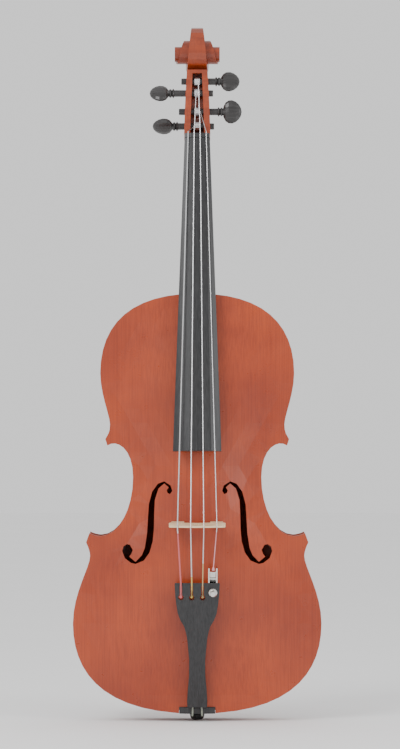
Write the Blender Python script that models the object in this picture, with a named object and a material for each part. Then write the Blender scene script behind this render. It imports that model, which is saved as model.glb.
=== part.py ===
"""A 16 inch viola, upright: +Z runs up the length to the scroll, the front (top plate) faces -Y, the origin is the flat
end face of the end button. Lengths below are in millimetres and are scaled to metres when a mesh is made."""

import math

import bmesh
import bpy
import numpy as np
from mathutils import Matrix, Vector
from mathutils.geometry import delaunay_2d_cdt

MM = 0.001
GAP = 0.3  # clearance between touching pieces

# ---- driving dimensions ----
BODY_L = 406.0  # back length of the body
BODY_Z0 = 7.0  # height of the body's lower edge above the button's end face
UPPER_W, WAIST_W, LOWER_W = 93.7, 62.0, 120.1  # half widths of the three bouts
RIB_H = 36.0
RIB_T = 1.2
EDGE_T = 4.2  # plate thickness at the edge
OVERHANG = 2.7
ARCH_TOP, ARCH_BACK = 12.8, 11.8  # rise of each arch above its edge
MARGIN = 7.0  # flat band round each plate
NECK_ANGLE = math.radians(5.8)
NUT_Z, NUT_Y = 566.0, -14.7  # where the neck's glue plane passes under the nut
BOARD_L, BOARD_W_NUT, BOARD_W_END, BOARD_SIDE, BOARD_R = 307.0, 24.2, 46.6, 5.5, 42.0
BRIDGE_Z, BRIDGE_H = 188.4, 38.0
STRING_X = (-18.85, -6.3, 6.3, 18.85)
NUT_X = (-8.7, -2.9, 2.9, 8.7)
TAIL_X = (-15.6, -5.2, 5.2, 15.0)
STRING_R = (0.62, 0.52, 0.45, 0.4)
SCROLL_Y, SCROLL_Z = 18.7, 647.0
BUTTON_R = 13.2  # the back plate's button under the heel
SIDE = RIB_H / 2  # inner faces of the plates lie at +-SIDE

for old in list(bpy.data.objects):
    bpy.data.objects.remove(old, do_unlink=True)

SPRUCE = ((0.50, 0.13, 0.05, 1), 0.28, 0)
MAPLE = ((0.42, 0.11, 0.05, 1), 0.3, 0)
RAW_WOOD = ((0.72, 0.55, 0.34, 1), 0.7, 0)
EBONY = ((0.02, 0.02, 0.022, 1), 0.35, 0)
BRIDGE_WOOD = ((0.8, 0.66, 0.42, 1), 0.6, 0)
STEEL = ((0.7, 0.7, 0.7, 1), 0.25, 1)
NICKEL = ((0.75, 0.73, 0.7, 1), 0.2, 1)
NYLON = ((0.35, 0.37, 0.3, 1), 0.5, 0)


def finish(name, bm, look, hidden=False, merge=True):
    """Makes an object of the bmesh, whose coordinates are in millimetres."""
    if merge:
        bmesh.ops.remove_doubles(bm, verts=bm.verts, dist=0.0005)
    bmesh.ops.recalc_face_normals(bm, faces=bm.faces)
    if bm.calc_volume(signed=True) < 0:
        bmesh.ops.reverse_faces(bm, faces=bm.faces)
    bmesh.ops.scale(bm, vec=(MM, MM, MM), verts=bm.verts)
    mesh = bpy.data.meshes.new(name)
    bm.to_mesh(mesh)
    bm.free()
    mesh.shade_smooth()
    mesh.set_sharp_from_angle(angle=math.radians(35))
    obj = bpy.data.objects.new(name, mesh)
    bpy.context.scene.collection.objects.link(obj)
    if hidden:
        obj.hide_render = True
        obj.display_type = "WIRE"
        return obj
    material = bpy.data.materials.new(name)
    material.use_nodes = True
    shader = material.node_tree.nodes["Principled BSDF"]
    shader.inputs["Base Color"].default_value = look[0]
    shader.inputs["Roughness"].default_value = look[1]
    shader.inputs["Metallic"].default_value = look[2]
    mesh.materials.append(material)
    return obj


def combine(obj, other, operation):
    mod = obj.modifiers.new(operation.lower(), "BOOLEAN")
    mod.operation = operation
    mod.solver = "EXACT"
    mod.object = other
    other.hide_render = True
    other.display_type = "WIRE"


def set_origin(obj, point_mm):
    """Moves the object's origin to the point and leaves its shape where it is."""
    shift = Vector(point_mm) * MM
    obj.data.transform(Matrix.Translation(-shift))
    obj.location = shift


def loft(name, rings, look, hidden=False, cap=True):
    bm = bmesh.new()
    made = [[bm.verts.new(p) for p in ring] for ring in rings]
    n = len(rings[0])
    for a, b in zip(made, made[1:]):
        for i in range(n):
            j = (i + 1) % n
            bm.faces.new((a[i], a[j], b[j], b[i]))
    if cap:
        bm.faces.new(made[0])
        bm.faces.new(made[-1])
    return finish(name, bm, look, hidden)


def frame_of(axis):
    axis = Vector(axis).normalized()
    side = axis.orthogonal().normalized()
    return side, axis.cross(side), axis


def revolve(name, profile, at, axis, look, steps=20, hidden=False, closed=False):
    """Turns (radius, height) pairs round the axis through at."""
    side, up, axis = frame_of(axis)
    at = Vector(at)
    bm = bmesh.new()
    rows = []
    for r, h in profile:
        if r == 0:
            rows.append([bm.verts.new(at + axis * h)])
            continue
        rows.append(
            [
                bm.verts.new(
                    at
                    + axis * h
                    + (side * math.cos(t) + up * math.sin(t)) * r
                )
                for t in (2 * math.pi * i / steps for i in range(steps))
            ]
        )
    pairs = list(zip(rows, rows[1:])) + ([(rows[-1], rows[0])] if closed else [])
    for a, b in pairs:
        for i in range(steps):
            j = (i + 1) % steps
            if len(a) == 1:
                bm.faces.new((a[0], b[i], b[j]))
            elif len(b) == 1:
                bm.faces.new((a[i], a[j], b[0]))
            else:
                bm.faces.new((a[i], a[j], b[j], b[i]))
    return finish(name, bm, look, hidden)


def tube(name, points, radius, look, sides=6, radii=None, hidden=False):
    points = [Vector(p) for p in points]
    tangents = []
    for i, p in enumerate(points):
        a, b = points[max(i - 1, 0)], points[min(i + 1, len(points) - 1)]
        tangents.append((b - a).normalized())
    side = tangents[0].orthogonal().normalized()
    rings = []
    for i, (p, t) in enumerate(zip(points, tangents)):
        side = (side - t * side.dot(t)).normalized()
        up = t.cross(side)
        r = radii[i] if radii else radius
        rings.append(
            [
                p + (side * math.cos(a) + up * math.sin(a)) * r
                for a in (2 * math.pi * k / sides for k in range(sides))
            ]
        )
    return loft(name, rings, look, hidden)


def inside(poly, x, y):
    """Even-odd test for arrays of points."""
    px, py = np.array(poly).T
    qx, qy = np.roll(px, -1), np.roll(py, -1)
    odd = np.zeros(len(x), bool)
    for a, b, c, d in zip(px, py, qx, qy):
        if b == d:
            continue
        cross = (b > y) != (d > y)
        odd ^= cross & (x < (c - a) * (y - b) / (d - b) + a)
    return odd


def prism(name, poly, lo, hi, look, to_xyz, holes=(), inner=(), hidden=False):
    """A closed solid between lo(u, v) and hi(u, v) over the polygon, less its holes."""
    points, edges = [], []
    for loop in (poly, *holes):
        start = len(points)
        points += [tuple(p) for p in loop]
        edges += [
            (start + i, start + (i + 1) % len(loop)) for i in range(len(loop))
        ]
    points += [tuple(p) for p in inner]
    out = delaunay_2d_cdt([Vector(p) for p in points], edges, [], 0, 1e-6)
    verts, faces = out[0], out[2]
    uv = np.array([tuple(v) for v in verts])
    centre = np.array([uv[list(f)].mean(axis=0) for f in faces])
    keep = inside(poly, centre[:, 0], centre[:, 1])
    for hole in holes:
        keep &= ~inside(hole, centre[:, 0], centre[:, 1])
    faces = [tuple(f) for f, k in zip(faces, keep) if k]
    bm = bmesh.new()
    used = sorted({i for f in faces for i in f})
    top = {i: bm.verts.new(to_xyz(*uv[i], hi(*uv[i]))) for i in used}
    bottom = {i: bm.verts.new(to_xyz(*uv[i], lo(*uv[i]))) for i in used}
    count = {}
    for f in faces:
        bm.faces.new([top[i] for i in f])
        bm.faces.new([bottom[i] for i in reversed(f)])
        for a, b in zip(f, f[1:] + f[:1]):
            count[(a, b)] = count.get((a, b), 0) + 1
    for a, b in count:
        if (b, a) not in count:
            bm.faces.new((top[b], top[a], bottom[a], bottom[b]))
    return finish(name, bm, look, hidden, merge=False)


def along_y(x, z, y):
    return (x, y, z)


# ---- outline ----
def bezier(p, n):
    t = np.linspace(0, 1, n)[:, None]
    p = np.array(p, float)
    return (
        (1 - t) ** 3 * p[0]
        + 3 * t * (1 - t) ** 2 * p[1]
        + 3 * t * t * (1 - t) * p[2]
        + t**3 * p[3]
    )


def pieces(n=9):
    """The right half of the body's outline from the top centre down, as its three bouts; corners lie between them."""
    upper = [
        bezier([(0, 406), (62.9, 406), (UPPER_W, 377.4), (UPPER_W, 328.9)], n + 4),
        bezier([(UPPER_W, 328.9), (UPPER_W, 309), (84.3, 288), (84.3, 279.5)], n - 2),
        bezier([(84.3, 279.5), (84.3, 271.1), (86.4, 270), (88.8, 265.3)], n - 4),
    ]
    waist = [
        bezier([(86.8, 259.1), (78, 265.4), (WAIST_W, 257), (WAIST_W, 228.5)], n),
        bezier([(WAIST_W, 228.5), (WAIST_W, 197.7), (76, 171.6), (93.3, 171.6)], n),
        bezier([(93.3, 171.6), (96.2, 171.6), (100.7, 172.6), (104.2, 174.4)], n - 4),
    ]
    lower = [
        bezier([(107.4, 165.5), (105.2, 161.2), (103.5, 155.8), (103.5, 152.5)], n - 4),
        bezier([(103.5, 152.5), (103.5, 141.4), (LOWER_W, 116.8), (LOWER_W, 87)], n),
        bezier([(LOWER_W, 87), (LOWER_W, 39.2), (90.7, 0), (0, 0)], n + 5),
    ]
    joined = []
    for group in (upper, waist, lower):
        line = np.vstack([group[0]] + [g[1:] for g in group[1:]])
        line[:, 1] += BODY_Z0
        joined.append(line)
    return joined


def offset(line, d):
    """The line moved inwards, to the right-hand side of its run down the body's right half."""
    t = np.gradient(line, axis=0)
    t /= np.linalg.norm(t, axis=1)[:, None]
    return line + d * np.stack([t[:, 1], -t[:, 0]], axis=1)


def mirrored(line):
    return [(-x, z) for x, z in line]


BOUTS = pieces()
HALF = np.vstack(BOUTS)


def body_outline(button=False):
    right = [tuple(p) for p in HALF]
    left = [(-x, z) for x, z in reversed(right[1:-1])]
    loop = right + left
    if not button:
        return loop
    top = BODY_Z0 + BODY_L
    loop = [p for p in loop if not (abs(p[0]) < BUTTON_R and p[1] > top - 20)]
    arc = [
        (BUTTON_R * math.cos(a), top + 0.6 + BUTTON_R * math.sin(a))
        for a in (math.pi * (1 - i / 12) for i in range(13))
    ]
    return arc + loop


# ---- arching ----
WIDTH_Z = [0, 3, 8, 20, 40, 62, 87, 110, 130, 150, 170, 190, 210, 228, 246, 262, 280, 300, 328, 350, 372, 388, 398, 403, 406]
WIDTH_X = [0, 42, 64, 87, 104, 114, 118.5, 115, 109, 98, 82, 69, 62.5, 60.5, 62.5, 70, 79, 86, 91, 89, 80, 66, 49, 33, 0]


def smooth_table(xs, ys):
    """A monotone cubic through the stations."""
    xs, ys = np.array(xs, float), np.array(ys, float)
    d = np.diff(ys) / np.diff(xs)
    m = np.concatenate([[d[0]], [0 if a * b <= 0 else 2 * a * b / (a + b) for a, b in zip(d, d[1:])], [d[-1]]])

    def at(x):
        x = min(max(x, xs[0]), xs[-1])
        i = min(int(np.searchsorted(xs, x, side="right")) - 1, len(xs) - 2)
        h = xs[i + 1] - xs[i]
        t = (x - xs[i]) / h
        return float(
            (1 + 2 * t) * (1 - t) ** 2 * ys[i]
            + t * (1 - t) ** 2 * h * m[i]
            + t * t * (3 - 2 * t) * ys[i + 1]
            + t * t * (t - 1) * h * m[i + 1]
        )

    return at


half_width = smooth_table(WIDTH_Z, WIDTH_X)


def rise(x, z):
    """0 on the flat margin to 1 at the crown of the arch."""
    zb = z - BODY_Z0
    wide = half_width(zb) - MARGIN
    if wide <= 1 or abs(x) >= wide:
        return 0.0
    long = abs(2 * (zb - BODY_L / 2) / (BODY_L - 2 * MARGIN))
    if long >= 1:
        return 0.0
    return (1 - (x / wide) ** 2) ** 1.5 * (1 - long**2.6) ** 1.2


def top_out(x, z):
    return -(SIDE + EDGE_T + ARCH_TOP * rise(x, z))


def top_in(x, z):
    h = ARCH_TOP * rise(x, z)
    return -(SIDE + h + 1.1 * min(1, h / 4))


def back_out(x, z):
    return SIDE + EDGE_T + ARCH_BACK * rise(x, z)


def back_in(x, z):
    return SIDE + ARCH_BACK * rise(x, z)


def fill_points(poly, step, clear, holes=()):
    edge = []
    for loop in (poly, *holes):
        loop = np.array(loop)
        for a, b in zip(loop, np.roll(loop, -1, axis=0)):
            n = max(1, int(np.linalg.norm(b - a) / 3))
            edge += [a + (b - a) * i / n for i in range(n)]
    edge = np.array(edge)
    made = []
    rows = int(BODY_L / (step * 0.866)) + 2
    for r in range(rows):
        z = BODY_Z0 + 4 + r * step * 0.866
        for c in range(-9, 10):
            x = (c + 0.5 * (r % 2)) * step
            if np.hypot(*(edge - (x, z)).T).min() < clear:
                continue
            ok = inside(poly, np.array([x]), np.array([z]))[0]
            for hole in holes:
                ok = ok and not inside(hole, np.array([x]), np.array([z]))[0]
            if ok:
                made.append((x, z))
    return made


# ---- f-holes: the template's edge, half-plane x and height above the body's lower edge, clockwise from the top ----
F_TEMPLATE = [
    (31.8, 224.7), (38.0, 222.3), (43.5, 214.6), (46.7, 202.6), (47.6, 188.5), (48.4, 174.4), (50.6, 160.2),
    (53.3, 153.5), (59.5, 146.9), (65.6, 151.9), (63.5, 154.7), (62.2, 158.4), (65.0, 163.3), (68.0, 163.9),
    (71.3, 161.6), (72.4, 157.2), (69.9, 150.4), (63.8, 145.8), (59.5, 144.9), (51.5, 148.2), (46.0, 155.9),
    (42.9, 167.0), (41.8, 178.7), (41.5, 192.8), (40.9, 206.5), (37.4, 217.7), (31.8, 222.6), (27.5, 218.9),
    (29.4, 216.0), (28.5, 213.4), (26.2, 212.4), (24.0, 215.5), (25.7, 220.7),
]
F_RIGHT = [(x, z + BODY_Z0) for x, z in F_TEMPLATE]
F_LEFT = mirrored(F_RIGHT)

# ---- plates ----
outline = body_outline()
top_plate = prism(
    "top_plate", outline, top_out, top_in, SPRUCE, along_y,
    holes=[F_RIGHT, F_LEFT], inner=fill_points(outline, 16, 6.5, [F_RIGHT, F_LEFT]),
)
outline_back = body_outline(button=True)
back_plate = prism(
    "back_plate", outline_back, back_in, back_out, MAPLE, along_y,
    inner=fill_points(outline_back, 16, 6.5),
)


def box(name, lo, hi, look=EBONY, hidden=False):
    x0, y0, z0 = lo
    x1, y1, z1 = hi
    rings = [[(x0, y0, z), (x1, y0, z), (x1, y1, z), (x0, y1, z)] for z in (z0, z1)]
    return loft(name, rings, look, hidden)


TOP_Z = BODY_Z0 + BODY_L
ROOT_Z = TOP_Z - OVERHANG - 6.5  # inner end of the neck's root
combine(top_plate, box("cut_neck_notch", (-17.9, -40, ROOT_Z - GAP), (17.9, -10, TOP_Z + 5), hidden=True), "DIFFERENCE")
SADDLE_W = 17.25
combine(top_plate, box("cut_saddle_notch", (-SADDLE_W - GAP, -40, -5), (SADDLE_W + GAP, -10, BODY_Z0 + 6.3 + GAP), hidden=True), "DIFFERENCE")

# ---- ribs, linings and blocks ----
NAMES = ("upper", "waist", "lower")
outer = [offset(b, OVERHANG) for b in BOUTS]
lined = [offset(b, OVERHANG + RIB_T + GAP + 0.25) for b in BOUTS]
TIP_UPPER = (BOUTS[0][-1] + BOUTS[1][0]) / 2
TIP_LOWER = (BOUTS[1][-1] + BOUTS[2][0]) / 2


def gap_to(point, line):
    best = 1e9
    for a, b in zip(line, line[1:]):
        t = min(1, max(0, np.dot(point - a, b - a) / np.dot(b - a, b - a)))
        best = min(best, np.linalg.norm(point - a - t * (b - a)))
    return best


def strip(line, thick, keep):
    """The polygon between a line and the line moved inwards by its local thickness."""
    t = np.gradient(line, axis=0)
    t /= np.linalg.norm(t, axis=1)[:, None]
    n = np.stack([t[:, 1], -t[:, 0]], axis=1)
    a = [tuple(p) for p, k in zip(line, keep) if k]
    b = [tuple(p + d * v) for p, d, v, k in zip(line, thick, n, keep) if k]
    return a + b[::-1]


def cut_at_x(line, x):
    """The line with a point at the given x put where it crosses it, keeping the part further out."""
    out = []
    for a, b in zip(line, line[1:]):
        if (a[0] - x) * (b[0] - x) < 0:
            t = (x - a[0]) / (b[0] - a[0])
            p = a + t * (b - a)
            out.append(p)
        if b[0] >= x:
            out.append(b)
    return np.array(out)


def dense(line, step=2.0):
    made = [line[0]]
    for a, b in zip(line, line[1:]):
        n = max(1, int(np.linalg.norm(b - a) / step))
        made += [a + (b - a) * (i + 1) / n for i in range(n)]
    return np.array(made)


button_hole = revolve("cut_button_hole", [(0, -2), (3.8, -2), (3.8, 40), (0, 40)], (0, 0, 0), (0, 0, 1), EBONY, 16, hidden=True)
for k, part in enumerate(NAMES):
    line = outer[k]
    if k == 0:
        line = cut_at_x(line[::-1], 13.6)[::-1]
    if k == 2:
        first = line[:-1]
        line = np.vstack([first[first[:, 0] > 2], [[0.15, line[-1][1]]]])
    others = [outer[j] for j in range(3) if abs(j - k) == 1]
    thick = np.array([min(RIB_T, min(gap_to(p, o) for o in others) / 2 - 0.17) for p in line])
    tips = [TIP_UPPER, TIP_LOWER]
    keep = [t > 0.3 and min(np.hypot(*(p - q)) for q in tips) > 3.2 for p, t in zip(line, thick)]
    poly = strip(line, np.maximum(thick, 0.3), keep)
    for side, sign in (("treble", 1), ("bass", -1)):
        rib = prism(
            f"rib_{part}_{side}", [(sign * x, z) for x, z in poly],
            lambda x, z: -(SIDE - GAP), lambda x, z: SIDE - GAP, MAPLE, along_y,
        )
        if k == 2:
            combine(rib, button_hole, "DIFFERENCE")

LINING_T, LINING_H = 2.0, 7.0
for k, part in enumerate(NAMES):
    line = lined[k]
    keep = [min(np.hypot(*(p - TIP_UPPER)), np.hypot(*(p - TIP_LOWER))) > 25 and (k == 1 or abs(p[0]) > 28) for p in line]
    poly = strip(line, np.full(len(line), LINING_T), keep)
    for side, sign in (("treble", 1), ("bass", -1)):
        for level, y0, y1 in (("top", -(SIDE - GAP), -(SIDE - GAP - LINING_H)), ("back", SIDE - GAP - LINING_H, SIDE - GAP)):
            prism(
                f"lining_{level}_{part}_{side}", [(sign * x, z) for x, z in poly],
                lambda x, z, y=y0: y, lambda x, z, y=y1: y, RAW_WOOD, along_y,
            )

CLEAR = OVERHANG + RIB_T + GAP + 0.5
for name, k, tip in (("upper", 0, TIP_UPPER), ("lower", 1, TIP_LOWER)):
    # The block fills the corner between the two ribs' inner faces.
    near_a = [p for p in dense(lined[k]) if np.hypot(*(p - tip)) < 22 and gap_to(p, BOUTS[k + 1]) > CLEAR]
    near_b = [p for p in dense(lined[k + 1]) if np.hypot(*(p - tip)) < 22 and gap_to(p, BOUTS[k]) > CLEAR]
    poly = [tuple(p) for p in near_a] + [tuple(p) for p in near_b]
    for side, sign in (("treble", 1), ("bass", -1)):
        prism(
            f"corner_block_{name}_{side}", [(sign * x, z) for x, z in poly],
            lambda x, z: -(SIDE - GAP), lambda x, z: SIDE - GAP, RAW_WOOD, along_y,
        )

ROOT_W = 13.2
upper_in = [tuple(p) for p in lined[0] if p[0] <= 27 and p[1] > 350]
neck_poly = (
    [(-x, z) for x, z in reversed([p for p in upper_in if p[0] > ROOT_W + 1])]
    + [(-ROOT_W - GAP, lined[0][0][1] - 0.6), (-ROOT_W - GAP, ROOT_Z - GAP), (ROOT_W + GAP, ROOT_Z - GAP), (ROOT_W + GAP, lined[0][0][1] - 0.6)]
    + [p for p in upper_in if p[0] > ROOT_W + 1]
)
last = neck_poly[-1]
neck_poly += [(last[0], ROOT_Z - 13), (-last[0], ROOT_Z - 13)]
prism("neck_block", neck_poly, lambda x, z: -(SIDE - GAP), lambda x, z: SIDE - GAP, RAW_WOOD, along_y)
lower_in = [tuple(p) for p in lined[2] if p[0] <= 27 and p[1] < 60]
end_poly = [(-x, z) for x, z in lower_in] + [p for p in reversed(lower_in) if p[0] > 0.01]
last = end_poly[-1]
end_poly += [(last[0], BODY_Z0 + 22), (-last[0], BODY_Z0 + 22)]
end_block = prism("end_block", end_poly, lambda x, z: -(SIDE - GAP), lambda x, z: SIDE - GAP, RAW_WOOD, along_y)
combine(end_block, button_hole, "DIFFERENCE")

# ---- bass bar and sound post ----
BAR_X = (-23.0, -17.5)
stations = [60 + 290 * i / 16 for i in range(17)]
front = [(z, max(top_in(x, z) for x in BAR_X) + 0.8) for z in stations]
rear = [(z, y + 4 + 9 * math.sin(math.pi * (z - 60) / 290)) for z, y in front]
prism(
    "bass_bar", front + rear[::-1], lambda z, y: BAR_X[0], lambda z, y: BAR_X[1], RAW_WOOD,
    lambda z, y, x: (x, y, z),
)
POST_X, POST_Z, POST_R = 20.0, 181.0, 3.2
post_front = max(top_in(POST_X + d, POST_Z) for d in (-POST_R, POST_R)) + 0.6
post_rear = min(back_in(POST_X + d, POST_Z) for d in (-POST_R, POST_R)) - 0.6
revolve("sound_post", [(0, post_front), (POST_R, post_front), (POST_R, post_rear), (0, post_rear)], (POST_X, 0, POST_Z), (0, 1, 0), RAW_WOOD, 12)

# ---- the neck's own frame: a runs up along the glue plane from the nut, b runs back from it ----
SIN, COS = math.sin(NECK_ANGLE), math.cos(NECK_ANGLE)


def neck(x, a, b):
    return (x, NUT_Y + a * SIN + b * COS, NUT_Z + a * COS - b * SIN)


def board_half(a):
    return (BOARD_W_NUT + (BOARD_W_END - BOARD_W_NUT) * min(max(-a, 0), BOARD_L) / BOARD_L) / 2


def d_ring(a, w, d, n=10):
    ring = [neck(-w, a, 0), neck(w, a, 0)]
    for i in range(1, n):
        t = math.pi * i / n
        ring.append(neck(w * math.cos(t), a, d * (0.25 + 0.75 * math.sin(t)) if 0 < i < n else 0))
    return ring


SHAFT = [(-162, 12.2), (-150, 12.2), (-120, 12.2), (-80, 12.2), (-40, 12.2), (-14, 12.4), (-8, 13.6), (-3.5, 16.5), (0, 20.5), (3.5, 24.4)]
shaft = loft("neck_scroll", [d_ring(a, board_half(a) - 0.3 + (0.65 if a > -6 else 0), d) for a, d in SHAFT], MAPLE)
shaft.name = "neck_scroll"

HEEL = [(-24.5, 447, 16.8), (-20, 440, 16.2), (-14, 434.5, 15.6), (-5, 430.5, 14.8), (6, 428, 13.9), (SIDE - GAP, 426.6, 13.0)]
rings = []
for y, tip, w in HEEL:
    ring = [(-ROOT_W, y, ROOT_Z), (ROOT_W, y, ROOT_Z), (ROOT_W, y, TOP_Z + 0.5), (w, y, TOP_Z + 0.8)]
    ring += [(w * math.cos(t), y, TOP_Z + 1 + (tip - TOP_Z - 1) * math.sin(t)) for t in (math.pi * i / 10 for i in range(1, 10))]
    ring += [(-w, y, TOP_Z + 0.8), (-ROOT_W, y, TOP_Z + 0.5)]
    rings.append(ring)
heel = loft("add_heel", rings, MAPLE, hidden=True)
combine(shaft, heel, "UNION")

# pegbox: each station joins a point of the front edge to a point of the back
PEGBOX = [
    ((1.5, 0.15, 12.7), (3, 24.2, 12.6)),
    ((15, 0.9, 12.3), (18, 25.6, 12.2)),
    ((30, 2.2, 11.8), (34, 25.2, 11.6)),
    ((45, 4.2, 11.1), (48, 25.0, 10.9)),
    ((58, 6.2, 10.4), (59, 28.5, 9.7)),
    ((66, 7.4, 10.0), (70, 40.0, 8.6)),
]
rings = []
for (fa, fb, fw), (ba, bb, bw) in PEGBOX:
    rings.append([
        neck(-fw, fa, fb), neck(fw, fa, fb),
        neck(bw, ba - 0.06 * (ba - fa), bb - 2.0), neck(bw * 0.8, ba, bb),
        neck(-bw * 0.8, ba, bb), neck(-bw, ba - 0.06 * (ba - fa), bb - 2.0),
    ])
pegbox = loft("add_pegbox", rings, MAPLE, hidden=True)
combine(shaft, pegbox, "UNION")

# the volute: radius and half width at each quarter turn, 0 at the top, turning forwards and down
QUARTERS = [-180, -90, 0, 90, 180, 270, 360, 450, 540, 630, 720]
spiral_r = smooth_table(QUARTERS, [19, 26.3, 26, 21.5, 16.6, 14.6, 13.4, 11.6, 9.6, 8.4, 7.4])
spiral_w = smooth_table(QUARTERS, [9.6, 7.4, 5.6, 8.4, 10.6, 11.6, 12.6, 17.0, 20.0, 21.6, 21.9])


def volute_point(turn, r, w):
    t = math.radians(turn)
    return (w, SCROLL_Y - r * math.sin(t), SCROLL_Z + r * math.cos(t))


STEP = 18
turns = list(range(-180, 721, STEP))
per = 360 // STEP
bm = bmesh.new()
rims = {}
for s in (1, -1):
    rims[s] = [bm.verts.new(volute_point(t, spiral_r(t), s * spiral_w(t))) for t in turns]
foot = {s: [bm.verts.new(volute_point(t, spiral_r(t + 360), s * spiral_w(t))) for t in turns if t + 360 <= 720] for s in (1, -1)}
for s in (1, -1):
    rim, low = rims[s], foot[s]
    for i in range(len(low) - 1):
        bm.faces.new((rim[i], rim[i + 1], low[i + 1], low[i]))
        bm.faces.new((low[i], low[i + 1], rim[i + 1 + per], rim[i + per]))
    # the last turn winds in to the eye, a short cylinder with a flat cap
    inner = [low[-1]] + [bm.verts.new(volute_point(360 + STEP * j, spiral_r(720), s * spiral_w(360 + STEP * j))) for j in range(1, per)] + [rim[-1]]
    eye = [rim[-1]] + [bm.verts.new(volute_point(360 + STEP * j, spiral_r(720), s * spiral_w(720))) for j in range(1, per)] + [rim[-1]]
    base = len(rim) - 1 - per
    for j in range(per):
        for quad in ((rim[base + j], rim[base + j + 1], inner[j + 1], inner[j]), (inner[j], inner[j + 1], eye[j + 1], eye[j])):
            bm.faces.new(list(dict.fromkeys(quad)))
    bm.faces.new(eye[:-1])
for i in range(per - 1):
    bm.faces.new((rims[1][i], rims[1][i + 1], rims[-1][i + 1], rims[-1][i]))
# the first turn's start stands on the rim one turn further in
bm.faces.new((rims[1][per - 1], rims[1][per], foot[1][0], foot[-1][0], rims[-1][per], rims[-1][per - 1]))
bm.faces.new((rims[1][0], foot[1][0], foot[-1][0], rims[-1][0]))
volute = finish("add_volute", bm, MAPLE, hidden=True)
combine(shaft, volute, "UNION")

# the pegbox's cavity
cavity = []
for a, w, d in ((2.5, 6.9, 18.5), (20, 6.5, 18.7), (40, 5.7, 19.2), (62.5, 4.8, 20.0)):
    cavity.append([neck(-w, a, -6), neck(w, a, -6), neck(w * 0.9, a, d), neck(-w * 0.9, a, d)])
combine(shaft, loft("cut_pegbox", cavity, MAPLE, hidden=True), "DIFFERENCE")

# ---- pegs: place along the neck, depth, head side, collar, head tip, tail end, turn of the head ----
PEGS = {
    "c": (10.8, 12.0, -1, 18.9, 43.4, 16.4, 56),
    "g": (43.4, 13.0, -1, 22.6, 46.3, 15.4, -50),
    "d": (55.2, 14.0, 1, 17.8, 41.3, 15.5, -35),
    "a": (25.2, 12.5, 1, 20.1, 43.3, 17.8, 0),
}
PEG_R = 3.3
for key, (a, b, side, collar, tip, tail, turn) in PEGS.items():
    centre = Vector(neck(0, a, b))
    profile = [
        (0, -tail), (PEG_R - 0.5, -tail), (PEG_R - 0.2, -tail + 0.6), (PEG_R, collar - 0.2), (4.3, collar), (4.7, collar + 0.9),
        (3.0, collar + 2.0), (4.2, collar + 2.9), (4.3, collar + 3.8), (3.0, collar + 5.2), (2.6, collar + 7.5), (0, collar + 7.5),
    ]
    peg = revolve(f"peg_{key}", profile, centre, (side, 0, 0), EBONY, 14)
    head_c = collar + 4.6
    half = (tip - head_c) / 2
    mid = head_c + half
    angle = math.radians(turn)
    bm = bmesh.new()
    bmesh.ops.create_uvsphere(bm, u_segments=14, v_segments=8, radius=1)
    for v in bm.verts:
        # flat oval: wide across the peg, thin through it, dished a little on both faces
        u, p, q = v.co.z, v.co.x, v.co.y
        thick = 4.8 * (1 - 0.25 * (1 - min(1, p * p + u * u)))
        wide, deep = 11.6 * p * (1 - 0.16 * u), thick * q
        v.co = centre + Vector((
            side * (mid + half * u),
            deep * math.cos(angle) - wide * math.sin(angle),
            wide * math.cos(angle) + deep * math.sin(angle),
        ))
    head = finish(f"add_head_{key}", bm, EBONY, hidden=True)
    combine(peg, head, "UNION")
    for obj in (peg, head):
        set_origin(obj, centre)
    hole = revolve(f"cut_peg_{key}", [(0, -20), (PEG_R + GAP, -20), (PEG_R + GAP, 20), (0, 20)], centre, (side, 0, 0), EBONY, 14, hidden=True)
    combine(shaft, hole, "DIFFERENCE")
    inner_r, outer_r = PEG_R + 0.25, PEG_R + 1.25
    winding = revolve(
        f"string_winding_{key}", [(inner_r, -2.6), (outer_r, -2.6), (outer_r, 2.6), (inner_r, 2.6)], centre, (1, 0, 0),
        STEEL, 14, closed=True,
    )
    set_origin(winding, centre)

# ---- fingerboard and nut ----
def board_top(x, a):
    w = board_half(a)
    return -(GAP + BOARD_SIDE + math.sqrt(BOARD_R**2 - x * x) - math.sqrt(BOARD_R**2 - w * w))


rings = []
for a in (-3.1, -60, -120, -157, -158, -200, -250, -BOARD_L):
    w = board_half(a)
    hollow = 0 if a > -157.5 else 2.8
    ring = [neck(x, a, board_top(x, a)) for x in (w * math.sin(math.pi / 2 * i / 5) for i in range(-5, 6))]
    ring += [neck(w - 0.4, a, -GAP), neck(w * 0.6, a, -GAP - hollow), neck(-w * 0.6, a, -GAP - hollow), neck(-w + 0.4, a, -GAP)]
    rings.append(ring)
loft("fingerboard", rings, EBONY)
nut_w = board_half(0) + 0.1
arc = [(x, board_top(x, 0) - 0.6) for x in (nut_w * 0.96 * i / 4 for i in range(-4, 5))]
nut_poly = [(nut_w, -GAP), *reversed(arc), (-nut_w, -GAP)]
loft("nut", [[neck(x, a, b) for x, b in nut_poly] for a in (-2.8, 1.4)], EBONY)

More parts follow.
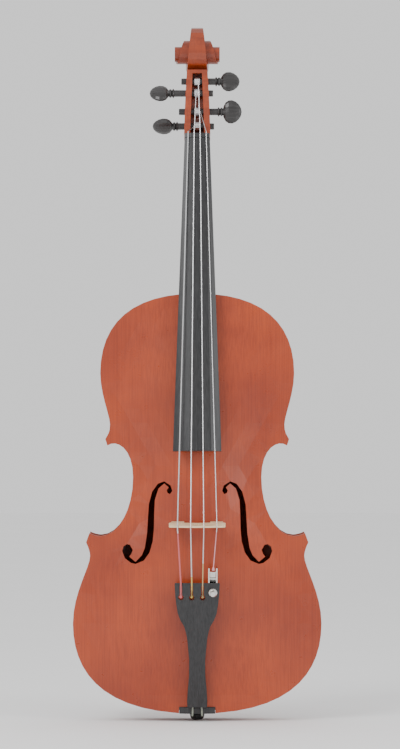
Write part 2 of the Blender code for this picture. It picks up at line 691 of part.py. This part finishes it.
# ---- bridge, in the plane z = BRIDGE_Z; its tail side is flat and its front side tapers ----
CROWN_Y = -(SIDE + EDGE_T + ARCH_TOP)
BRIDGE_HALF = [
    (24.5, 31.2), (26.8, 28.8), (26.3, 26.3), (23.6, 24.8), (19, 25.0), (14.5, 23.9), (11.7, 21.2), (12.0, 18.4),
    (14.6, 16.9), (18, 17.8), (20.8, 19.2), (24.8, 17.4), (27.2, 13.4), (26.4, 9.0), (23.4, 5.6), (24.8, 3.0),
]
crown = [(x, BRIDGE_H - x * x / 92) for x in (-24.5 + 49 * i / 10 for i in range(11))]
foot_out = [(x, -top_out(x, BRIDGE_Z + 2) + CROWN_Y + 0.35) for x in (24.6, 20.5, 16.5, 13.0)]
legs = [(12.6, 2.6), (15.4, 5.2), (15.0, 7.8), (11, 10.0), (5, 11.2)]
right = BRIDGE_HALF[1:] + foot_out + legs
bridge_poly = crown + right + [(0, 11.6)] + [(-x, h) for x, h in reversed(right)]
heart = [(0, 18.2), (3.2, 21.4), (4.4, 24.4), (3.0, 26.4), (0.9, 25.2), (0, 27.6), (-0.9, 25.2), (-3.0, 26.4), (-4.4, 24.4), (-3.2, 21.4)]
prism(
    "bridge", bridge_poly, lambda x, h: BRIDGE_Z, lambda x, h: BRIDGE_Z + 4.8 - 3.1 * max(0, h) / BRIDGE_H,
    BRIDGE_WOOD, lambda x, h, z: (x, CROWN_Y - h, z), holes=[heart],
)

# ---- tailpiece ----
TAIL_TOP, TAIL_END = 134.8, 13.8
TAIL_Y0, TAIL_Y1 = -57.5, -33.0
TAIL_R = 80.0


def tail_y(z):
    return TAIL_Y0 + (TAIL_Y1 - TAIL_Y0) * (TAIL_TOP - z) / (TAIL_TOP - TAIL_END)


TAILPIECE = [(134.8, 21.4), (133.6, 21.7), (124, 21.2), (114.2, 20.2), (105, 18.6), (98.7, 16.2), (92.9, 12.7), (86, 10.6), (79.4, 9.5), (60, 7.8), (45, 7.9), (30, 9.2), (20, 9.8), (13.8, 9.5)]
rings = []
for z, w in TAILPIECE:
    y = tail_y(z)
    up = [(x, y + x * x / (2 * TAIL_R) + (0.5 if abs(x) > w - 0.1 else 0), z) for x in (w * i / 4 for i in range(-4, 5))]
    edge = y + w * w / (2 * TAIL_R) + 3.0
    down = [(w - 0.3, edge, z), (w * 0.6, y + 5.6, z), (0, y + 6.4, z), (-w * 0.6, y + 5.6, z), (-w + 0.3, edge, z)]
    rings.append(up + down)
tailpiece = loft("tailpiece", rings, EBONY)
TILT = math.atan((TAIL_Y1 - TAIL_Y0) / (TAIL_TOP - TAIL_END))
ALONG = Vector((0, -math.sin(TILT), math.cos(TILT)))
NORMAL = Vector((0, -math.cos(TILT), -math.sin(TILT)))
for key, x in zip("cgd", TAIL_X):
    hole = revolve(f"cut_keyhole_{key}", [(0, -12), (2.6, -12), (2.6, 8), (0, 8)], (x, tail_y(120.5), 120.5), NORMAL, EBONY, 12, hidden=True)
    combine(tailpiece, hole, "DIFFERENCE")
    y = tail_y(126)
    combine(tailpiece, box(f"cut_slot_{key}", (x - 1.2, y - 12, 121), (x + 1.2, y + 14, 132.2), hidden=True), "DIFFERENCE")
for side in (-1, 1):
    combine(tailpiece, revolve(f"cut_gut_{'bass' if side < 0 else 'treble'}", [(0, 5), (1.5, 5), (1.5, 27), (0, 27)], (side * 4.2, tail_y(20) + 3.4, 0), (0, 0, 1), EBONY, 10, hidden=True), "DIFFERENCE")

# ---- saddle, end button and tail gut ----
SADDLE_Y = -(SIDE + EDGE_T + 4.2)
arc = [(x, SADDLE_Y + 2.4 * (abs(x) / SADDLE_W) ** 3) for x in (SADDLE_W * i / 6 for i in range(-6, 7))]
saddle_poly = arc + [(SADDLE_W, -(SIDE + GAP)), (-SADDLE_W, -(SIDE + GAP))]
rings = []
for z, drop in ((BODY_Z0 + 0.1, 1.2), (BODY_Z0 + 1.3, 0.2), (BODY_Z0 + 5.4, 0.0), (BODY_Z0 + 6.3, 0.7)):
    rings.append([(x, min(y + drop, -(SIDE + GAP)), z) for x, y in saddle_poly])
loft("saddle", rings, EBONY)
revolve(
    "end_button",
    [(0, 26), (3.0, 26), (3.4, 9.4), (3.4, 6.2), (6.7, 6.0), (7.1, 4.6), (6.7, 2.4), (5.8, 0.8), (4.8, 0), (0, 0)],
    (0, 0, 0), (0, 0, 1), EBONY, 24,
)
gut_y = tail_y(20) + 3.4
half_path = [(4.2, gut_y, 24), (4.2, gut_y, 14), (4.4, -27.8, 11.5), (4.5, -27.7, 8.4), (4.6, -26.4, 5.6), (4.7, -22, 5.2), (4.8, -16, 6.0), (4.8, -7, 7.4), (4.75, 0, 7.7)]
loop_path = [(4.75 * math.cos(t), 4.75 * math.sin(t), 7.7) for t in (math.pi * i / 6 for i in range(1, 6))]
tube("tail_gut", half_path + loop_path + [(-x, y, z) for x, y, z in reversed(half_path)], 0.9, NYLON, 6)

# ---- strings ----
def crown_y(x):
    return CROWN_Y - BRIDGE_H + x * x / 92


HOOK = Vector((TAIL_X[3], tail_y(126) + TAIL_X[3] ** 2 / (2 * TAIL_R), 126.0))


def hook_frame(u, v, w):
    return HOOK + Vector((u, 0, 0)) + ALONG * v + NORMAL * w


for i, key in enumerate("cgda"):
    r = STRING_R[i]
    bx, nx, tx = STRING_X[i], NUT_X[i], TAIL_X[i]
    a, b, *_ = PEGS[key]
    over_bridge = Vector((bx, crown_y(bx) - r - 0.3, BRIDGE_Z + 0.8))
    over_nut = Vector(neck(nx, -0.8, board_top(nx, 0) - 0.6 - r - 0.3))
    centre = Vector(neck(0, a, b))
    to_peg = Vector((nx * 0.35, centre.y - PEG_R - 1.25 - r - 0.35, centre.z))
    behind_nut = Vector(neck(nx, 1.9 + r, board_top(nx, 0) - 0.6 - r - 0.3))
    path = [behind_nut + (to_peg - behind_nut) * t for t in (1.0, 0.5, 0.12)]
    path += [behind_nut, over_nut, over_nut + (over_bridge - over_nut) * 0.02]
    path += [over_nut + (over_bridge - over_nut) * t for t in (0.5, 0.985)] + [over_bridge]
    radii = [r] * len(path)
    if key == "a":
        end = hook_frame(0.4, 23.6, 3.2)
        path += [over_bridge + (end - over_bridge) * t for t in (0.03, 0.5, 0.94)] + [end, end - ALONG * 0.01 + Vector((0, 0, -1.4))]
        radii += [r, r * 1.3, r * 1.3, 1.3, 1.3]
    else:
        fret = Vector((tx, tail_y(TAIL_TOP) + tx * tx / (2 * TAIL_R) - r * 1.4 - 0.65, TAIL_TOP - 0.5))
        dip = Vector((tx, tail_y(126) + 2.0, 126))
        ball = Vector((tx, tail_y(120.5) + 3.0, 120.8))
        path += [over_bridge + (fret - over_bridge) * t for t in (0.03, 0.5)] + [fret, fret + Vector((0, 0.6, -2.6)), dip, ball + Vector((0, -0.9, 2.0)), ball + Vector((0, -0.7, 1.2)), ball]
        radii += [r, r * 1.3, r * 1.3, r * 1.3, r * 1.3, r * 1.3, 1.6, 1.6]
    tube(f"string_{key}", path, r, STEEL, 6, radii)

# ---- fine tuner on the highest string, in the tailpiece's own frame ----
def local_box(name, lo, hi, look=NICKEL, hidden=False):
    rings = [[hook_frame(u, v, w) for u, v in ((lo[0], lo[1]), (hi[0], lo[1]), (hi[0], hi[1]), (lo[0], hi[1]))] for w in (lo[2], hi[2])]
    return loft(name, rings, look, hidden)


combine(tailpiece, revolve("cut_tuner_hole", [(0, -12), (1.9, -12), (1.9, 8), (0, 8)], HOOK, NORMAL, EBONY, 12, hidden=True), "DIFFERENCE")
bracket = local_box("tuner_bracket", (-4.4, -6, -8.2), (4.4, 12, -7.0))
combine(bracket, local_box("add_cheek_left", (-4.4, 9.8, -8.2), (-3.1, 24, 2.0), hidden=True), "UNION")
combine(bracket, local_box("add_cheek_right", (3.1, 9.8, -8.2), (4.4, 24, 2.0), hidden=True), "UNION")
combine(bracket, revolve("cut_bracket_post", [(0, -12), (1.6, -12), (1.6, -4), (0, -4)], HOOK, NORMAL, EBONY, 12, hidden=True), "DIFFERENCE")
PIVOT = hook_frame(0, 18.5, -5.0)
combine(bracket, revolve("cut_bracket_pin", [(0, -8), (1.1, -8), (1.1, 8), (0, 8)], PIVOT, (1, 0, 0), EBONY, 10, hidden=True), "DIFFERENCE")
revolve("tuner_pivot_pin", [(0, -4.3), (0.8, -4.3), (0.8, 4.3), (0, 4.3)], PIVOT, (1, 0, 0), STEEL, 10)
lever_poly = [(-3.5, -10.2), (-3.5, -8.9), (13.5, -8.9), (16.4, -6.8), (16.4, 3.4), (20.8, 3.4), (20.8, -10.2)]
lever = loft("tuner_lever", [[hook_frame(u, v, w) for v, w in lever_poly] for u in (-2.6, 2.6)], NICKEL)
combine(lever, revolve("cut_lever_pin", [(0, -8), (1.1, -8), (1.1, 8), (0, 8)], PIVOT, (1, 0, 0), EBONY, 10, hidden=True), "DIFFERENCE")
for obj in (lever, bpy.data.objects["cut_lever_pin"]):
    set_origin(obj, PIVOT)
revolve("tuner_collar_nut", [(1.6, 1.2), (4.0, 1.2), (4.2, 1.7), (4.2, 2.9), (3.6, 3.6), (1.6, 3.6)], HOOK, NORMAL, NICKEL, 20, closed=True)
screw = revolve(
    "tuner_screw",
    [(0, -8.6), (0.8, -8.6), (1.2, -8.0), (1.2, 4.2), (2.4, 4.4), (2.75, 5.0), (2.75, 8.4), (2.3, 9.0), (0, 9.0)],
    HOOK, NORMAL, NICKEL, 18,
)
set_origin(screw, HOOK)
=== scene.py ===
import math

import bpy
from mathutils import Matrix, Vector

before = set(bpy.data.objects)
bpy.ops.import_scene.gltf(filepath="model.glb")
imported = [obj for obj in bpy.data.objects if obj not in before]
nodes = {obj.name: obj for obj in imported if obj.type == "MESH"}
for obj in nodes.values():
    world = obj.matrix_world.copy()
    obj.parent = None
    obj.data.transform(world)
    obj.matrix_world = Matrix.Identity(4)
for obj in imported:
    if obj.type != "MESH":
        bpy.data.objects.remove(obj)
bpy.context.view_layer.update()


# ---- material building blocks ----
def new_material(name):
    mat = bpy.data.materials.new("look_" + name)
    mat.use_nodes = True
    tree = mat.node_tree
    return mat, tree, tree.nodes["Principled BSDF"]


def coords(tree, scale):
    tc = tree.nodes.new("ShaderNodeTexCoord")
    mp = tree.nodes.new("ShaderNodeMapping")
    mp.inputs["Scale"].default_value = scale
    tree.links.new(tc.outputs["Object"], mp.inputs["Vector"])
    return mp.outputs["Vector"]


def noise(tree, scale, size=1.0, detail=4.0, rough=0.55, distort=0.0):
    n = tree.nodes.new("ShaderNodeTexNoise")
    n.inputs["Scale"].default_value = size
    n.inputs["Detail"].default_value = detail
    n.inputs["Roughness"].default_value = rough
    n.inputs["Distortion"].default_value = distort
    tree.links.new(coords(tree, scale), n.inputs["Vector"])
    return n.outputs["Fac"]


def ramp(tree, fac, stops):
    r = tree.nodes.new("ShaderNodeValToRGB")
    while len(r.color_ramp.elements) < len(stops):
        r.color_ramp.elements.new(0.5)
    for e, (p, c) in zip(r.color_ramp.elements, stops):
        e.position = p
        e.color = (*c, 1)
    tree.links.new(fac, r.inputs["Fac"])
    return r.outputs["Color"]


def mix(tree, a, b, fac, mode="MIX"):
    m = tree.nodes.new("ShaderNodeMix")
    m.data_type = "RGBA"
    m.blend_type = mode
    for key, value in ((6, a), (7, b)):
        if isinstance(value, tuple):
            m.inputs[key].default_value = (*value, 1)
        else:
            tree.links.new(value, m.inputs[key])
    if isinstance(fac, float):
        m.inputs[0].default_value = fac
    else:
        tree.links.new(fac, m.inputs[0])
    return m.outputs[2]


def bump(tree, shader, height, strength, distance=0.0002):
    b = tree.nodes.new("ShaderNodeBump")
    b.inputs["Strength"].default_value = strength
    b.inputs["Distance"].default_value = distance
    tree.links.new(height, b.inputs["Height"])
    tree.links.new(b.outputs["Normal"], shader.inputs["Normal"])


def math_node(tree, op, a, b=0.0):
    m = tree.nodes.new("ShaderNodeMath")
    m.operation = op
    for i, v in enumerate((a, b)):
        if isinstance(v, (int, float)):
            m.inputs[i].default_value = v
        else:
            tree.links.new(v, m.inputs[i])
    return m.outputs[0]


def varnish(name, light, dark, grain, grain_size, flame=None):
    """Varnished wood: grain lines stretched along z, slow patches, and cross flame for maple."""
    mat, tree, sh = new_material(name)
    lines = noise(tree, grain, grain_size, 3.0, 0.6)
    patch = noise(tree, (1, 1, 1), 14.0, 3.0, 0.5)
    base = ramp(tree, patch, [(0.3, dark), (0.7, light)])
    shade = ramp(tree, lines, [(0.35, (0.72, 0.68, 0.64)), (0.6, (1, 1, 1))])
    col = mix(tree, base, shade, 0.7, "MULTIPLY")
    if flame:
        stripes = noise(tree, flame, 1.0, 2.0, 0.5, 0.4)
        col = mix(tree, col, ramp(tree, stripes, [(0.38, (0.62, 0.55, 0.5)), (0.62, (1.0, 1.0, 1.0))]), 0.65, "MULTIPLY")
    tree.links.new(col, sh.inputs["Base Color"])
    wear = noise(tree, (1, 1, 1), 60.0, 5.0, 0.6)
    rough = tree.nodes.new("ShaderNodeMapRange")
    rough.inputs["To Min"].default_value = 0.2
    rough.inputs["To Max"].default_value = 0.42
    tree.links.new(wear, rough.inputs["Value"])
    tree.links.new(rough.outputs["Result"], sh.inputs["Roughness"])
    sh.inputs["Coat Weight"].default_value = 0.15
    sh.inputs["Coat Roughness"].default_value = 0.15
    bump(tree, sh, lines, 0.25)
    return mat


def plain(name, light, dark, size, rough, metal=0.0, stretch=(1, 1, 1), coat=0.0, strength=0.2):
    mat, tree, sh = new_material(name)
    n = noise(tree, stretch, size, 5.0, 0.6)
    tree.links.new(ramp(tree, n, [(0.3, dark), (0.7, light)]), sh.inputs["Base Color"])
    r = tree.nodes.new("ShaderNodeMapRange")
    r.inputs["To Min"].default_value = max(0.05, rough - 0.08)
    r.inputs["To Max"].default_value = rough + 0.1
    tree.links.new(n, r.inputs["Value"])
    tree.links.new(r.outputs["Result"], sh.inputs["Roughness"])
    sh.inputs["Metallic"].default_value = metal
    sh.inputs["Coat Weight"].default_value = coat
    bump(tree, sh, n, strength)
    return mat


top_mat = varnish("top", (0.42, 0.055, 0.008), (0.27, 0.030, 0.006), (900, 900, 6), 1.0)
back_mat = varnish("back", (0.33, 0.045, 0.008), (0.20, 0.025, 0.006), (500, 500, 12), 1.0, (18, 18, 160))
neck_mat = varnish("neck", (0.38, 0.055, 0.009), (0.24, 0.032, 0.007), (500, 500, 12), 1.0, (18, 18, 160))
raw_mat = plain("raw", (0.72, 0.53, 0.32), (0.55, 0.38, 0.22), 1.0, 0.7, stretch=(600, 600, 14))
ebony_mat = plain("ebony", (0.03, 0.03, 0.032), (0.008, 0.008, 0.009), 1.0, 0.33, stretch=(900, 900, 16), strength=0.12)
peg_mat = plain("peg", (0.045, 0.042, 0.042), (0.012, 0.011, 0.011), 1.0, 0.28, stretch=(20, 700, 700), strength=0.1)
bridge_mat = plain("bridge", (0.80, 0.62, 0.40), (0.62, 0.44, 0.25), 1.0, 0.55, stretch=(120, 120, 900), strength=0.15)
nickel_mat = plain("nickel", (0.80, 0.78, 0.74), (0.60, 0.58, 0.55), 300.0, 0.18, 1.0, strength=0.05)
gut_mat = plain("gut", (0.30, 0.32, 0.26), (0.18, 0.20, 0.16), 500.0, 0.45)


def string_material(name, silk, low, high):
    """Bright wound metal, with coloured silk below the height low to high."""
    mat, tree, sh = new_material(name)
    wind = tree.nodes.new("ShaderNodeTexWave")
    wind.bands_direction = "Z"
    wind.inputs["Scale"].default_value = 700.0
    wind.inputs["Distortion"].default_value = 0.5
    tree.links.new(coords(tree, (1, 1, 1)), wind.inputs["Vector"])
    metal = ramp(tree, wind.outputs["Fac"], [(0.2, (0.55, 0.55, 0.56)), (0.7, (0.86, 0.86, 0.87))])
    tc = tree.nodes.new("ShaderNodeTexCoord")
    sep = tree.nodes.new("ShaderNodeSeparateXYZ")
    tree.links.new(tc.outputs["Object"], sep.inputs["Vector"])
    below = math_node(tree, "MULTIPLY", math_node(tree, "LESS_THAN", sep.outputs["Z"], high), math_node(tree, "GREATER_THAN", sep.outputs["Z"], low))
    col = mix(tree, metal, silk, below)
    tree.links.new(col, sh.inputs["Base Color"])
    tree.links.new(math_node(tree, "SUBTRACT", 1.0, below), sh.inputs["Metallic"])
    sh.inputs["Roughness"].default_value = 0.32
    bump(tree, sh, wind.outputs["Fac"], 0.3, 0.0001)
    return mat


string_mats = {
    "c": string_material("string_c", (0.55, 0.12, 0.13), 0.0, 0.183),
    "g": string_material("string_g", (0.60, 0.42, 0.12), 0.0, 0.141),
    "d": string_material("string_d", (0.50, 0.34, 0.16), 0.0, 0.154),
    "a": string_material("string_a", (0.65, 0.28, 0.30), 0.0, 0.184),
}


def look_for(name):
    if name == "top_plate":
        return top_mat
    if name == "back_plate" or name.startswith("rib_"):
        return back_mat
    if name == "neck_scroll":
        return neck_mat
    if name.startswith("string_winding_"):
        return string_mats[name[-1]]
    if name.startswith("string_"):
        return string_mats[name[-1]]
    if name.startswith("peg_"):
        return peg_mat
    if name in ("fingerboard", "nut", "tailpiece", "saddle", "end_button"):
        return ebony_mat
    if name == "bridge":
        return bridge_mat
    if name.startswith("tuner_"):
        return nickel_mat
    if name == "tail_gut":
        return gut_mat
    return raw_mat


for name, obj in nodes.items():
    obj.data.materials.clear()
    obj.data.materials.append(look_for(name))

# ---- floor, light, camera ----
floor_mat = plain("floor", (0.97, 0.97, 0.97), (0.95, 0.95, 0.95), 6.0, 0.8, strength=0.02)
mesh = bpy.data.meshes.new("floor")
mesh.from_pydata([(-6, -6, 0), (6, -6, 0), (6, 6, 0), (-6, 6, 0)], [], [(0, 1, 2, 3)])
floor = bpy.data.objects.new("floor", mesh)
bpy.context.scene.collection.objects.link(floor)
mesh.materials.append(floor_mat)
floor.location.z = -0.0005

world = bpy.data.worlds.new("world")
bpy.context.scene.world = world
world.use_nodes = True
world.node_tree.nodes["Background"].inputs["Color"].default_value = (1, 1, 1, 1)
world.node_tree.nodes["Background"].inputs["Strength"].default_value = 1.0


def area(name, at, aim, size, watts):
    light = bpy.data.lights.new(name, "AREA")
    light.shape = "RECTANGLE"
    light.size, light.size_y = size
    light.energy = watts
    obj = bpy.data.objects.new(name, light)
    obj.location = at
    obj.rotation_euler = (Vector(aim) - Vector(at)).to_track_quat("-Z", "Y").to_euler()
    bpy.context.scene.collection.objects.link(obj)


area("key", (-1.1, -1.6, 1.5), (0, 0, 0.3), (0.9, 1.2), 26)
area("fill", (1.5, -1.3, 0.8), (0, 0, 0.3), (0.8, 1.4), 12)

camera_data = bpy.data.cameras.new("camera")
camera_data.sensor_fit = "VERTICAL"
camera_data.sensor_height = 36
camera_data.lens = 199.0
camera_data.clip_end = 50
camera = bpy.data.objects.new("camera", camera_data)
camera.location = (0.0027, -4.022, 0.3347)
camera.rotation_euler = (math.radians(90), 0, 0)
bpy.context.scene.collection.objects.link(camera)
bpy.context.scene.camera = camera
